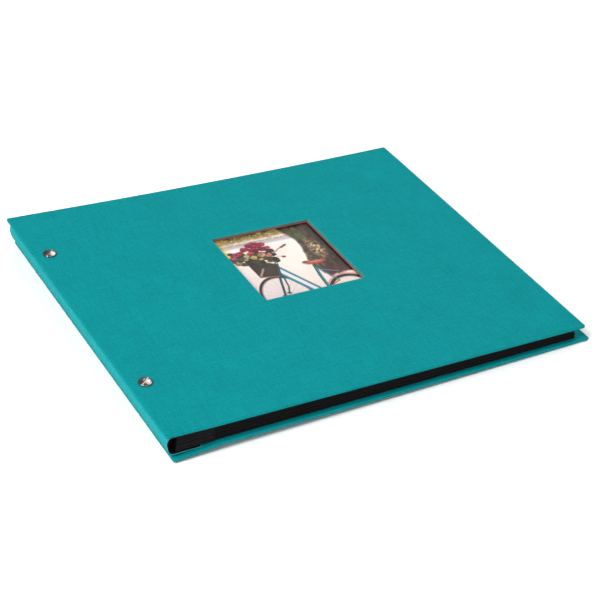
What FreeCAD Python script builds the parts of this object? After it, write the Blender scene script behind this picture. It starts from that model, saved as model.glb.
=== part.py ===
import FreeCAD, Part
import math
import os

V = FreeCAD.Vector
doc = FreeCAD.newDocument("ScrewPostAlbum")

# ---------------------------------------------------------------- dimensions
# A landscape screw-post album: two cloth-wrapped board covers, each a narrow
# bound strip and a large panel joined by a cloth hinge; a separate U-shaped
# cloth spine; twenty card leaves with folded stubs; two screw posts.
dims = doc.addObject("Spreadsheet::Sheet", "Dims")
TABLE = [
    ("cover_len", 300.0),      # spine edge to fore-edge of one cover, laid flat
    ("cover_wid", 250.0),      # along the spine
    ("strip_len", 33.0),       # spine edge to hinge line
    ("hinge_gap", 3.0),        # board-free cloth on each side of the hinge line
    ("hinge_slit", 0.3),       # the two rigid halves stop this far from the hinge line
    ("board_thk", 1.8),
    ("cloth_thk", 0.3),
    ("liner_thk", 0.2),
    ("turn_in", 12.0),         # cloth folded over onto the inner face
    ("shear_len", 5.0),        # rear cover sits this much further from the spine
    ("shear_wid", 0.2),        # rear cover sits this much nearer the front end
    ("front_edge_top", 22.1),  # height of the front cover's outer face at the spine edge
    ("front_hinge_top", 20.6),
    ("front_fore_top", 13.3),
    ("back_edge_low", 0.95),    # height of the rear cover's outer face at the spine edge
    ("back_hinge_low", 3.5),
    ("win_from_hinge", 85.3),  # window's near side, from the hinge line
    ("win_len", 74.2),
    ("win_wid", 77.6),
    ("win_mid", 14.8),         # window's middle, towards the rear end
    ("post_from_edge", 10.3),
    ("post_gap", 148.6),
    ("post_dia", 5.0),
    ("post_hole", 5.8),
    ("bore_dia", 3.6),
    ("shank_dia", 3.5),
    ("head_dia", 8.8),
    ("head_high", 1.6),
    ("foot_high", 0.95),
    ("slot_wide", 1.1),
    ("slot_deep", 0.75),
    ("leaf_count", 20.0),
    ("leaf_thk", 0.28),
    ("leaf_from_hinge", 1.5),
    ("leaf_wid", 245.0),
    ("leaf_fore", 294.6),      # fore-edge of the top leaf, from the front cover's spine edge
    ("leaf_shear", 1.6),       # the leaves step outwards by this much, top to bottom
    ("leaf_hinge_top", 17.6),  # top face of the top leaf at the hinge line
    ("leaf_hinge_step", 0.575),
    ("leaf_fore_top", 10.35),  # top face of the top leaf at the fore-edge
    ("leaf_fore_step", 0.39),
    ("stub_len", 26.0),
    ("stub_thk", 0.56),
    ("stub_hole", 5.6),
    ("spine_cloth_thk", 0.3),
    ("spine_liner_thk", 0.2),
    ("flap_rise", 2.0),
    ("spine_len", 246.0),
    ("insert_len", 91.0),
    ("insert_wid", 92.0),
    ("insert_thk", 0.25),
    ("pocket_thk", 0.25),
    ("pocket_rim", 0.30),
    ("pocket_len", 101.0),
    ("pocket_wid", 108.0),
    ("pocket_rim_wid", 7.0),
]
for row, (name, value) in enumerate(TABLE, start=1):
    dims.set("A%d" % row, name)
    dims.set("B%d" % row, repr(value))
    dims.setAlias("B%d" % row, name)
doc.recompute()
D = {name: float(dims.get(name)) for name, _ in TABLE}

# --------------------------------------------------------- derived positions
total_thk = D["board_thk"] + D["cloth_thk"] + D["liner_thk"]
panel_len = D["cover_len"] - D["strip_len"]
front_strip_tilt = math.degrees(math.asin((D["front_edge_top"] - D["front_hinge_top"]) / D["strip_len"]))
front_tilt = math.degrees(math.asin((D["front_hinge_top"] - D["front_fore_top"]) / panel_len))
back_strip_tilt = -math.degrees(math.asin((D["back_hinge_low"] - D["back_edge_low"]) / D["strip_len"]))
back_tilt = math.degrees(math.asin(D["back_hinge_low"] / panel_len))

# extent of the closed album along X, so that the origin is at its middle
x_low = (D["strip_len"] - D["strip_len"] * math.cos(math.radians(front_strip_tilt))
         - total_thk * math.sin(math.radians(front_strip_tilt)))
x_high = (D["strip_len"] + D["shear_len"] + panel_len * math.cos(math.radians(back_tilt))
          + total_thk * math.sin(math.radians(back_tilt)))
cx = 0.5 * (x_low + x_high)
y_front = 0.5 * D["shear_wid"]      # centre line of the front cover
y_back = -0.5 * D["shear_wid"]      # centre line of the rear cover

Y_AXIS = V(0, 1, 0)
front_hinge = V(D["strip_len"] - cx, y_front, D["front_hinge_top"])
back_hinge = V(D["strip_len"] + D["shear_len"] - cx, y_back, D["back_hinge_low"])
post_x = D["post_from_edge"] - cx
post_y = [-0.5 * D["post_gap"], 0.5 * D["post_gap"]]

# The four cover panels each have a frame at the hinge line, with local z = 0 on
# the outer face. A positive turn about +Y lowers the +X side.
P_FRONT = FreeCAD.Placement(front_hinge, FreeCAD.Rotation(Y_AXIS, front_tilt))
P_FSTRIP = FreeCAD.Placement(front_hinge, FreeCAD.Rotation(Y_AXIS, front_strip_tilt))
P_BACK = FreeCAD.Placement(back_hinge, FreeCAD.Rotation(Y_AXIS, back_tilt))
P_BSTRIP = FreeCAD.Placement(back_hinge, FreeCAD.Rotation(Y_AXIS, back_strip_tilt))

nodes = []


def cell(expr):
    # words that are aliases become cell references
    out = []
    word = ""
    for ch in expr + " ":
        if ch.isalnum() or ch == "_":
            word += ch
        else:
            out.append("Dims." + word if word in D else word)
            word = ""
            out.append(ch)
    return "".join(out).strip()


def box(name, lx, ly, lz, px, py, pz):
    # a Part::Box whose sizes and corner are all bound to cells
    b = doc.addObject("Part::Box", name)
    for prop, expr in (("Length", lx), ("Width", ly), ("Height", lz),
                       ("Placement.Base.x", px), ("Placement.Base.y", py), ("Placement.Base.z", pz)):
        b.setExpression(prop, cell(expr))
    return b


def cylinder(name, dia, high, px, py, pz):
    c = doc.addObject("Part::Cylinder", name)
    c.setExpression("Radius", cell("(" + dia + ") / 2"))
    c.Height = high
    c.Placement = FreeCAD.Placement(V(px, py, pz), FreeCAD.Rotation())
    return c


def cut(name, base, tools):
    if len(tools) == 1:
        tool = tools[0]
    else:
        tool = doc.addObject("Part::MultiFuse", name + "_tools")
        tool.Shapes = tools
    c = doc.addObject("Part::Cut", name + "_cut")
    c.Base = base
    c.Tool = tool
    return c


def node(obj, label, placement=None):
    obj.Label = label
    if placement is not None:
        obj.Placement = placement
    nodes.append(obj)
    return obj


def plane(body, role):
    for f in body.Origin.OriginFeatures:
        if f.Role == role:
            return f
    raise RuntimeError(role)


def new_sketch(body, name, role, offset=None):
    sk = body.newObject("Sketcher::SketchObject", name)
    sk.AttachmentSupport = [(plane(body, role), "")]
    sk.MapMode = "FlatFace"
    if offset is not None:
        sk.AttachmentOffset = FreeCAD.Placement(V(0, 0, offset), FreeCAD.Rotation())
    return sk


def rectangle(sk, x0, y0, wide, high):
    # an axis-aligned rectangle: corner and two sides bound to cells
    import Sketcher
    vx0, vy0 = 0.0, 0.0
    pts = [V(vx0, vy0, 0), V(vx0 + 10, vy0, 0), V(vx0 + 10, vy0 + 10, 0), V(vx0, vy0 + 10, 0)]
    g = [sk.addGeometry(Part.LineSegment(pts[i], pts[(i + 1) % 4]), False) for i in range(4)]
    for i in range(4):
        sk.addConstraint(Sketcher.Constraint("Coincident", g[i], 2, g[(i + 1) % 4], 1))
    sk.addConstraint(Sketcher.Constraint("Horizontal", g[0]))
    sk.addConstraint(Sketcher.Constraint("Horizontal", g[2]))
    sk.addConstraint(Sketcher.Constraint("Vertical", g[1]))
    sk.addConstraint(Sketcher.Constraint("Vertical", g[3]))
    c1 = sk.addConstraint(Sketcher.Constraint("DistanceX", g[0], 1, g[0], 2, 10.0))
    c2 = sk.addConstraint(Sketcher.Constraint("DistanceY", g[1], 1, g[1], 2, 10.0))
    c3 = sk.addConstraint(Sketcher.Constraint("DistanceX", -1, 1, g[0], 1, 1.0))
    c4 = sk.addConstraint(Sketcher.Constraint("DistanceY", -1, 1, g[0], 1, 1.0))
    sk.setExpression("Constraints[%d]" % c1, cell(wide))
    sk.setExpression("Constraints[%d]" % c2, cell(high))
    sk.setExpression("Constraints[%d]" % c3, cell(x0))
    sk.setExpression("Constraints[%d]" % c4, cell(y0))
    return g


THK = "(board_thk + cloth_thk + liner_thk)"


# ------------------------------------------------------------ front cover
# greyboard panel with the window opening
fb = box("FrontBoardBox", "cover_len - strip_len - hinge_gap - cloth_thk", "cover_wid - 2 * cloth_thk", "board_thk",
         "hinge_gap", "-cover_wid / 2 + cloth_thk", "-cloth_thk - board_thk")
fbw = box("FrontBoardWindow", "win_len", "win_wid", "board_thk + 2",
          "win_from_hinge", "win_mid - win_wid / 2", "-cloth_thk - board_thk - 1")
node(cut("FrontBoard", fb, [fbw]), "front_board", P_FRONT)

# cloth: outer face, wrapped edges and the turned-in margin on the inner face
fc = box("FrontClothBox", "cover_len - strip_len - hinge_slit", "cover_wid", THK,
         "hinge_slit", "-cover_wid / 2", "-" + THK)
fc_board = box("FrontClothBoard", "cover_len - strip_len - hinge_gap - cloth_thk", "cover_wid - 2 * cloth_thk",
               "board_thk", "hinge_gap", "-cover_wid / 2 + cloth_thk", "-cloth_thk - board_thk")
fc_gap = box("FrontClothGap", "hinge_gap + 1", "cover_wid + 2", "board_thk + liner_thk + 1",
             "-1", "-cover_wid / 2 - 1", "-" + THK + " - 1")
fc_liner = box("FrontClothLiner", "cover_len - strip_len - hinge_gap - turn_in", "cover_wid - 2 * turn_in",
               "liner_thk + 1", "hinge_gap", "-cover_wid / 2 + turn_in", "-" + THK + " - 1")
fc_win = box("FrontClothWindow", "win_len", "win_wid", THK + " + 2",
             "win_from_hinge", "win_mid - win_wid / 2", "-" + THK + " - 1")
node(cut("FrontCloth", fc, [fc_board, fc_gap, fc_liner, fc_win]), "front_cloth", P_FRONT)

# endpaper inside the turned-in margin
fe = box("FrontEndBox", "cover_len - strip_len - hinge_gap - turn_in", "cover_wid - 2 * turn_in", "liner_thk",
         "hinge_gap", "-cover_wid / 2 + turn_in", "-" + THK)
fe_win = box("FrontEndWindow", "win_len", "win_wid", "liner_thk + 2",
             "win_from_hinge", "win_mid - win_wid / 2", "-" + THK + " - 1")
node(cut("FrontEnd", fe, [fe_win]), "front_endpaper", P_FRONT)

# picture pocket: a card sheet on a three-sided rim, open towards the fore-edge
pocket = doc.addObject("PartDesign::Body", "PicturePocket")
sk = new_sketch(pocket, "PocketSheetSketch", "XY_Plane")
rectangle(sk, "0", "-pocket_wid / 2", "pocket_len", "pocket_wid")
pad = pocket.newObject("PartDesign::Pad", "PocketSheet")
pad.Profile = sk
pad.setExpression("Length", cell("pocket_thk + pocket_rim"))
doc.recompute()
solid_volume = pocket.Shape.Volume
sk2 = new_sketch(pocket, "PocketSpaceSketch", "XY_Plane")
rectangle(sk2, "pocket_rim_wid", "-pocket_wid / 2 + pocket_rim_wid", "pocket_len",
          "pocket_wid - 2 * pocket_rim_wid")
sk2.AttachmentOffset = FreeCAD.Placement(V(0, 0, D["pocket_thk"] + D["pocket_rim"]), FreeCAD.Rotation())
space = pocket.newObject("PartDesign::Pocket", "PocketSpace")
space.Profile = sk2
space.setExpression("Length", cell("pocket_rim"))
doc.recompute()
expected = D["pocket_rim"] * (D["pocket_len"] - D["pocket_rim_wid"]) * (D["pocket_wid"] - 2 * D["pocket_rim_wid"])
if abs(solid_volume - pocket.Shape.Volume - expected) > 1.0:
    raise RuntimeError("picture pocket: space not cut %.1f" % (solid_volume - pocket.Shape.Volume))
pocket_x = D["win_from_hinge"] + 0.5 * D["win_len"] - 0.5 * D["insert_len"] - D["pocket_rim_wid"] - 1.0
node(pocket, "picture_pocket",
     P_FRONT * FreeCAD.Placement(V(pocket_x, D["win_mid"], -total_thk - D["pocket_rim"] - D["pocket_thk"]),
                                 FreeCAD.Rotation()))

# exchangeable picture card, between the endpaper and the pocket's sheet
insert = doc.addObject("PartDesign::Body", "PictureInsert")
sk = new_sketch(insert, "InsertSketch", "XY_Plane")
rectangle(sk, "-insert_len / 2", "-insert_wid / 2", "insert_len", "insert_wid")
pad = insert.newObject("PartDesign::Pad", "InsertPad")
pad.Profile = sk
pad.setExpression("Length", cell("insert_thk"))
node(insert, "picture_insert",
     P_FRONT * FreeCAD.Placement(V(D["win_from_hinge"] + 0.5 * D["win_len"], D["win_mid"],
                                   -total_thk - 0.025 - D["insert_thk"]), FreeCAD.Rotation()))

# ------------------------------------------------------------- rear cover
# the rear cover's outer face is local z = 0, its inner face is at +thickness
bb = box("BackBoardBox", "cover_len - strip_len - hinge_gap - cloth_thk", "cover_wid - 2 * cloth_thk", "board_thk",
         "hinge_gap", "-cover_wid / 2 + cloth_thk", "cloth_thk")
node(bb, "back_board")
bb.setExpression("Placement.Base.x", None)
bb.setExpression("Placement.Base.y", None)
bb.setExpression("Placement.Base.z", None)
doc.recompute()
bb.Placement = P_BACK * FreeCAD.Placement(V(D["hinge_gap"], -D["cover_wid"] / 2 + D["cloth_thk"], D["cloth_thk"]),
                                          FreeCAD.Rotation())

bc = box("BackClothBox", "cover_len - strip_len - hinge_slit", "cover_wid", THK,
         "hinge_slit", "-cover_wid / 2", "0")
bc_board = box("BackClothBoard", "cover_len - strip_len - hinge_gap - cloth_thk", "cover_wid - 2 * cloth_thk",
               "board_thk", "hinge_gap", "-cover_wid / 2 + cloth_thk", "cloth_thk")
bc_gap = box("BackClothGap", "hinge_gap + 1", "cover_wid + 2", "board_thk + liner_thk + 1",
             "-1", "-cover_wid / 2 - 1", "cloth_thk")
bc_liner = box("BackClothLiner", "cover_len - strip_len - hinge_gap - turn_in", "cover_wid - 2 * turn_in",
               "liner_thk + 1", "hinge_gap", "-cover_wid / 2 + turn_in", "cloth_thk + board_thk")
node(cut("BackCloth", bc, [bc_board, bc_gap, bc_liner]), "back_cloth", P_BACK)

be = box("BackEndBox", "cover_len - strip_len - hinge_gap - turn_in", "cover_wid - 2 * turn_in", "liner_thk",
         "0", "0", "0")
for prop in ("Placement.Base.x", "Placement.Base.y", "Placement.Base.z"):
    be.setExpression(prop, None)
doc.recompute()
node(be, "back_endpaper")
be.Placement = P_BACK * FreeCAD.Placement(V(D["hinge_gap"], -D["cover_wid"] / 2 + D["turn_in"],
                                            D["cloth_thk"] + D["board_thk"]), FreeCAD.Rotation())


# ----------------------------------------------------------- bound strips
def strip(side, placement, sign, y_mid):
    # sign -1: the front cover's strip, whose body lies below its outer face
    inv = placement.inverse()
    drills = []
    for k, py in enumerate(post_y):
        c = inv.multVec(V(post_x, py, 0))
        d = doc.addObject("Part::Cylinder", side + "StripDrill%d" % k)
        d.setExpression("Radius", cell("post_hole / 2"))
        d.Height = 60
        foot = placement.inverse() * FreeCAD.Placement(V(post_x, py, -20), FreeCAD.Rotation())
        d.Placement = foot
        drills.append(d)
    fuse = doc.addObject("Part::MultiFuse", side + "StripDrills")
    fuse.Shapes = drills
    if sign < 0:
        z_board, z_all, z_liner, z_gap = "-cloth_thk - board_thk", "-" + THK, "-" + THK, "-" + THK + " - 1"
    else:
        z_board, z_all, z_liner, z_gap = "cloth_thk", "0", "cloth_thk + board_thk", "cloth_thk"
    b = box(side + "StripBoardBox", "strip_len - hinge_gap - cloth_thk", "cover_wid - 2 * cloth_thk", "board_thk",
            "-strip_len + cloth_thk", "-cover_wid / 2 + cloth_thk", z_board)
    node(cut(side + "StripBoard", b, [fuse]), side.lower() + "_strip_board", placement)
    c = box(side + "StripClothBox", "strip_len - hinge_slit", "cover_wid", THK,
            "-strip_len", "-cover_wid / 2", z_all)
    cb = box(side + "StripClothBoard", "strip_len - hinge_gap - cloth_thk", "cover_wid - 2 * cloth_thk", "board_thk",
             "-strip_len + cloth_thk", "-cover_wid / 2 + cloth_thk", z_board)
    cg = box(side + "StripClothGap", "hinge_gap + 1", "cover_wid + 2", "board_thk + liner_thk + 1",
             "-hinge_gap", "-cover_wid / 2 - 1", z_gap)
    cl = box(side + "StripClothLiner", "strip_len - turn_in - hinge_gap + 0.001", "cover_wid - 2 * turn_in",
             "liner_thk + 1", "-strip_len + turn_in", "-cover_wid / 2 + turn_in",
             z_liner + (" - 1" if sign < 0 else ""))
    node(cut(side + "StripCloth", c, [cb, cg, cl, fuse]), side.lower() + "_strip_cloth", placement)
    li = box(side + "StripLinerBox", "strip_len - turn_in - hinge_gap", "cover_wid - 2 * turn_in", "liner_thk",
             "-strip_len + turn_in", "-cover_wid / 2 + turn_in", z_liner)
    node(cut(side + "StripLiner", li, [fuse]), side.lower() + "_strip_endpaper", placement)


strip("Front", P_FSTRIP, -1, y_front)
strip("Back", P_BSTRIP, 1, y_back)


# ---------------------------------------------------------- U-shaped spine
def rounded_u(points, radii, thick):
    """Outline of a folded strip of the given thickness. points is the outer
    fold line, ends first and last, and the sheet lies on its left side."""
    def unit(a, b):
        v = b.sub(a)
        return v.multiply(1.0 / v.Length)

    def rail(off):
        geo = []
        pts = []
        n = len(points)
        dirs = [unit(points[i], points[i + 1]) for i in range(n - 1)]
        shifted = []
        for i in range(n - 1):
            nrm = V(-dirs[i].y, dirs[i].x, 0)
            shifted.append((points[i].add(nrm * off), dirs[i]))
        corners = [shifted[0][0]]
        for i in range(n - 2):
            p, d = shifted[i]
            q, e = shifted[i + 1]
            den = d.x * e.y - d.y * e.x
            w = q.sub(p)
            k = (w.x * e.y - w.y * e.x) / den
            corners.append(p.add(d * k))
        last = points[-1].add(V(-dirs[-1].y, dirs[-1].x, 0) * off)
        corners.append(last)
        start = corners[0]
        for i in range(1, len(corners) - 1):
            a, b = dirs[i - 1], dirs[i]
            turn = math.acos(max(-1, min(1, a.dot(b))))
            r = radii[i - 1] - off
            back = r * math.tan(turn / 2)
            p0 = corners[i].sub(a * back)
            p2 = corners[i].add(b * back)
            mid_dir = b.sub(a)
            mid_dir.normalize()
            centre = corners[i].add(mid_dir * (r / math.cos(turn / 2)))
            p1 = centre.sub(mid_dir * r)
            geo.append(Part.LineSegment(start, p0))
            geo.append(Part.Arc(p0, p1, p2))
            start = p2
        geo.append(Part.LineSegment(start, corners[-1]))
        return geo, corners[0], corners[-1]

    outer, o0, o1 = rail(0.0)
    inner, i0, i1 = rail(thick)
    return outer + inner + [Part.LineSegment(o0, i0), Part.LineSegment(o1, i1)]


def z_under_front(x):
    # inner face of the front strip above album x
    return (D["front_edge_top"] - total_thk / math.cos(math.radians(front_strip_tilt))
            - x * math.tan(math.radians(front_strip_tilt)))


def z_over_back(x):
    return (D["back_edge_low"] + total_thk / math.cos(math.radians(back_strip_tilt))
            + (x - D["shear_len"]) * math.tan(math.radians(-back_strip_tilt)))


def spine_body(name, label, thick_alias, gap, flap_top, flap_low, back_top, back_low, radii, length):
    # the lower flap rises from its glued end towards the bend, off the sloping strip
    body = doc.addObject("PartDesign::Body", name)
    sk = new_sketch(body, name + "Sketch", "XZ_Plane")
    pts = [V(flap_top, z_under_front(flap_top) - gap, 0),
           V(back_top, z_under_front(back_top) - gap, 0),
           V(back_low, z_over_back(back_low) + gap + D["flap_rise"] * (24.5 - back_low) / 21.3, 0),
           V(flap_low, z_over_back(flap_low) + gap + D["flap_rise"] * (24.5 - flap_low) / 21.3, 0)]
    for g in rounded_u(pts, radii, D[thick_alias]):
        sk.addGeometry(g, False)
    p = body.newObject("PartDesign::Pad", name + "Pad")
    p.Profile = sk
    p.setExpression("Length", cell(length))
    p.Midplane = True
    doc.recompute()
    drills = []
    for k, py in enumerate(post_y):
        drills.append(cylinder(name + "Drill%d" % k, "post_hole + 0.4", 60.0, post_x + cx, py, -20))
    c = cut(name, body, drills)
    node(c, label, FreeCAD.Placement(V(-cx, 0, 0), FreeCAD.Rotation()))


spine_body("SpineCloth", "spine_cloth", "spine_cloth_thk", 0.05, 24.0, 24.5, -0.3, 3.2, [5.5, 4.5], "spine_len")
spine_body("SpineLiner", "spine_lining", "spine_liner_thk", 0.05 + D["spine_cloth_thk"] + 0.02,
           23.0, 23.5, -0.3 + 0.42, 3.2 + 0.27,
           [5.5 - D["spine_cloth_thk"] - 0.02, 4.5 - D["spine_cloth_thk"] - 0.02], "spine_len - 1")

# ------------------------------------------------------------------ leaves
count = int(round(D["leaf_count"]))
stub_cuts = []
leaf_tilts = []
for i in range(count):
    f = i / (count - 1.0)
    z_hinge = D["leaf_hinge_top"] - i * D["leaf_hinge_step"]
    z_fore = D["leaf_fore_top"] - i * D["leaf_fore_step"]
    shift = (f - 0.5) * D["leaf_shear"]
    x_fore = D["leaf_fore"] + shift
    run = x_fore - D["strip_len"]
    tilt = math.degrees(math.asin((z_hinge - z_fore) / run))
    # page: one sheet of card from just past its crease to the fore-edge
    body = doc.addObject("PartDesign::Body", "Leaf%02d" % (i + 1))
    sk = new_sketch(body, "Leaf%02dSketch" % (i + 1), "XY_Plane")
    rectangle(sk, "leaf_from_hinge", "-leaf_wid / 2",
              "leaf_fore - strip_len - leaf_from_hinge + %.6f" % shift, "leaf_wid")
    pad = body.newObject("PartDesign::Pad", "Leaf%02dPad" % (i + 1))
    pad.Profile = sk
    pad.setExpression("Length", cell("leaf_thk"))
    node(body, "leaf_%02d" % (i + 1),
         FreeCAD.Placement(V(D["strip_len"] - cx, 0.15 * math.sin(2.4 * i), z_hinge), FreeCAD.Rotation(Y_AXIS, tilt))
         * FreeCAD.Placement(V(0, 0, -D["leaf_thk"]), FreeCAD.Rotation()))
    # stub: the same sheet folded double, opening like a fan towards the spine
    fan = front_strip_tilt * (1 - f)
    b = box("Stub%02dBox" % (i + 1), "stub_len", "leaf_wid", "stub_thk", "-stub_len - 0.4", "-leaf_wid / 2", "-stub_thk")
    pl = FreeCAD.Placement(V(D["strip_len"] - cx, 0.15 * math.sin(2.4 * i), z_hinge), FreeCAD.Rotation(Y_AXIS, fan))
    drills = []
    for k, py in enumerate(post_y):
        d = doc.addObject("Part::Cylinder", "Stub%02dDrill%d" % (i + 1, k))
        d.setExpression("Radius", cell("stub_hole / 2"))
        d.Height = 8
        local = pl.inverse().multVec(V(post_x, py, z_hinge))
        d.Placement = FreeCAD.Placement(V(local.x, local.y, local.z - 4), FreeCAD.Rotation())
        drills.append(d)
    s = cut("Stub%02d" % (i + 1), b, drills)
    s.Placement = pl
    stub_cuts.append(s)
    leaf_tilts.append(tilt)
stubs = doc.addObject("Part::Compound", "PageStubs")
stubs.Links = stub_cuts
node(stubs, "page_stubs")


# ------------------------------------------------------------- screw posts
def revolved(name, profile, angle_expr=None):
    # a closed profile of (radius, height) points turned about the Z axis
    body = doc.addObject("PartDesign::Body", name)
    sk = new_sketch(body, name + "Sketch", "XZ_Plane")
    for g in profile:
        sk.addGeometry(g, False)
    rev = body.newObject("PartDesign::Revolution", name + "Turn")
    rev.Profile = sk
    rev.ReferenceAxis = (sk, ["V_Axis"])
    rev.Angle = 360
    return body


head_seat = D["front_edge_top"] - (D["post_from_edge"] - D["head_dia"] / 2 - x_low) * math.tan(
    math.radians(front_strip_tilt)) + 0.04
R = D["head_dia"] / 2
bore = D["bore_dia"] / 2
tube = D["post_dia"] / 2
shank = D["shank_dia"] / 2
foot = D["foot_high"]
tube_top = D["front_edge_top"] - D["post_from_edge"] * math.tan(math.radians(front_strip_tilt)) - 0.3


def lines(points):
    return [Part.LineSegment(V(points[i][0], points[i][1], 0), V(points[(i + 1) % len(points)][0],
                                                                points[(i + 1) % len(points)][1], 0))
            for i in range(len(points))]


for label, py in (("front", post_y[0]), ("rear", post_y[1])):
    # post: a flat low-domed foot under the rear cover and a bored tube
    prof = [Part.LineSegment(V(0, 0, 0), V(R - 1.2, 0, 0)),
            Part.Arc(V(R - 1.2, 0, 0), V(R - 0.5053, 0.1878, 0), V(R, foot - 0.25, 0)),
            Part.LineSegment(V(R, foot - 0.25, 0), V(R, foot, 0)),
            Part.LineSegment(V(R, foot, 0), V(tube, foot, 0)),
            Part.LineSegment(V(tube, foot, 0), V(tube, tube_top - 0.3, 0)),
            Part.LineSegment(V(tube, tube_top - 0.3, 0), V(tube - 0.3, tube_top, 0)),
            Part.LineSegment(V(tube - 0.3, tube_top, 0), V(bore, tube_top, 0)),
            Part.LineSegment(V(bore, tube_top, 0), V(bore, 6.0, 0)),
            Part.LineSegment(V(bore, 6.0, 0), V(0, 5.0, 0)),
            Part.LineSegment(V(0, 5.0, 0), V(0, 0, 0))]
    barrel = revolved("Post" + label.capitalize(), prof)
    node(barrel, "post_" + label, FreeCAD.Placement(V(post_x, py, 0), FreeCAD.Rotation()))

    # screw: low domed head with a rolled rim, and a shank that turns in the post
    top = D["head_high"]
    prof = [Part.Arc(V(0, top, 0), V(R * 0.62, top - 0.30, 0), V(R - 0.25, 0.72, 0)),
            Part.Arc(V(R - 0.25, 0.72, 0), V(R - 0.03, 0.48, 0), V(R - 0.12, 0.0, 0)),
            Part.LineSegment(V(R - 0.12, 0.0, 0), V(shank, 0.0, 0)),
            Part.LineSegment(V(shank, 0.0, 0), V(shank, -11.6, 0)),
            Part.LineSegment(V(shank, -11.6, 0), V(shank - 0.5, -12.2, 0)),
            Part.LineSegment(V(shank - 0.5, -12.2, 0), V(0, -12.2, 0)),
            Part.LineSegment(V(0, -12.2, 0), V(0, top, 0))]
    screw = revolved("Screw" + label.capitalize(), prof)
    doc.recompute()
    before = screw.Shape.Volume
    sk = new_sketch(screw, "Slot" + label.capitalize() + "Sketch", "XY_Plane", D["head_high"] + 0.2)
    rectangle(sk, "-head_dia", "-slot_wide / 2", "2 * head_dia", "slot_wide")
    slot = screw.newObject("PartDesign::Pocket", "Slot" + label.capitalize())
    slot.Profile = sk
    slot.setExpression("Length", cell("slot_deep + 0.2"))
    doc.recompute()
    if before - screw.Shape.Volume < 3.0:
        raise RuntimeError("screw slot not cut")
    node(screw, "screw_" + label, FreeCAD.Placement(V(post_x, py, head_seat), FreeCAD.Rotation(V(0, 0, 1), 40.0)))

# -------------------------------------------------------- check and export
doc.recompute()
bad = []
for o in doc.Objects:
    if "Invalid" in o.State or "Error" in o.State:
        bad.append("%s %s" % (o.Name, o.State))
for o in nodes:
    if o.Shape.isNull() or not o.Shape.isValid() or not o.Shape.Solids:
        bad.append("%s shape" % o.Label)
if bad:
    raise RuntimeError("failed objects: " + ", ".join(bad))
labels = [o.Label for o in nodes]
if len(set(labels)) != len(labels):
    raise RuntimeError("labels repeat")

os.makedirs("parts", exist_ok=True)
for o in nodes:
    o.Shape.exportStep(os.path.join("parts", o.Label + ".step"))

box_all = FreeCAD.BoundBox()
for o in nodes:
    box_all.add(o.Shape.BoundBox)
print("nodes %d" % len(nodes))
print("box X %.3f %.3f  Y %.3f %.3f  Z %.3f %.3f" % (box_all.XMin, box_all.XMax, box_all.YMin, box_all.YMax,
                                                       box_all.ZMin, box_all.ZMax))
print("tilts front %.7f front strip %.7f back %.7f back strip %.7f" % (front_tilt, front_strip_tilt, back_tilt,
                                                                        back_strip_tilt))
print("front hinge %.6f %.6f %.6f" % tuple(front_hinge))
print("back hinge %.6f %.6f %.6f" % tuple(back_hinge))
print("post x %.4f head seat %.4f tube top %.4f" % (post_x, head_seat, tube_top))
win = P_FRONT.multVec(V(D["win_from_hinge"], D["win_mid"] - D["win_wid"] / 2, -total_thk))
win2 = P_FRONT.multVec(V(D["win_from_hinge"] + D["win_len"], D["win_mid"] + D["win_wid"] / 2, 0))
print("window %.3f %.3f %.3f  to  %.3f %.3f %.3f" % (tuple(win) + tuple(win2)))
print("leaf tilts %.4f .. %.4f" % (leaf_tilts[0], leaf_tilts[-1]))
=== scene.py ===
import bpy, bmesh, math
import numpy as np
from mathutils import Vector, Matrix


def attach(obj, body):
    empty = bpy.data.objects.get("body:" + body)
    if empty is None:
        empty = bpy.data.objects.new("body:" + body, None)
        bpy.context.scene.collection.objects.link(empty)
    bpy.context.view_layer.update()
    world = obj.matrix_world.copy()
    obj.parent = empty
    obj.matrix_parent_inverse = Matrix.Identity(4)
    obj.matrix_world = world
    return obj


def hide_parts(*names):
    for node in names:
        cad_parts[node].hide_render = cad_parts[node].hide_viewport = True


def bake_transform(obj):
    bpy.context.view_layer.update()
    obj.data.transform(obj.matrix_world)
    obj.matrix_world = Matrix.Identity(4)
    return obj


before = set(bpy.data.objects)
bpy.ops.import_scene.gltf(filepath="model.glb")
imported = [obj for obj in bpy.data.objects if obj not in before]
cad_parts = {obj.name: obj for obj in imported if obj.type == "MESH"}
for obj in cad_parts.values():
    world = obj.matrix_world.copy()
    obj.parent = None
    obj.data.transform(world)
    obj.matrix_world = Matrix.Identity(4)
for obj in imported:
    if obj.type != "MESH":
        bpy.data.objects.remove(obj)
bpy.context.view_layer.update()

MM = 0.001
FH = (-119.468386, 0.1, 20.6)          # front cover's hinge line, on its outer face
BH = (-114.468386, -0.1, 3.5)          # rear cover's hinge line, on its outer face
FT, FST = math.radians(1.5667091), math.radians(2.6052513)
BT, BST = math.radians(0.7510898), math.radians(-4.4318191)
STRIP, PANEL, HALF = 33.0, 267.0, 125.0
WX0, WX1, WY0, WY1 = 85.3, 159.5, -24.0, 53.6
rng = np.random.RandomState(11)


def smooth(t):
    t = min(1.0, max(0.0, t))
    return t * t * (3 - 2 * t)


# ------------------------------------------------------------- places on the covers
def sag(x, y):
    """The front cover sags a little along its rear edge."""
    t = min(1.0, max(0.0, x / PANEL))
    s = max(0.0, (y - 20.0) / 105.0)
    return 1.35 * 4 * t * (1 - t) * s * s


def cover(origin, tilt, strip_tilt, sign, lower):
    def place(x, y, d):
        k = smooth((x + 5.0) / 10.0)
        t = strip_tilt + (tilt - strip_tilt) * k
        z = -sign * d
        return (origin[0] + x * math.cos(t) + z * math.sin(t), origin[1] + y,
                origin[2] - x * math.sin(t) + z * math.cos(t) - lower(x, y))
    return place


front = cover(FH, FT, FST, 1, sag)
back = cover(BH, BT, BST, -1, lambda x, y: 0.0)


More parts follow.
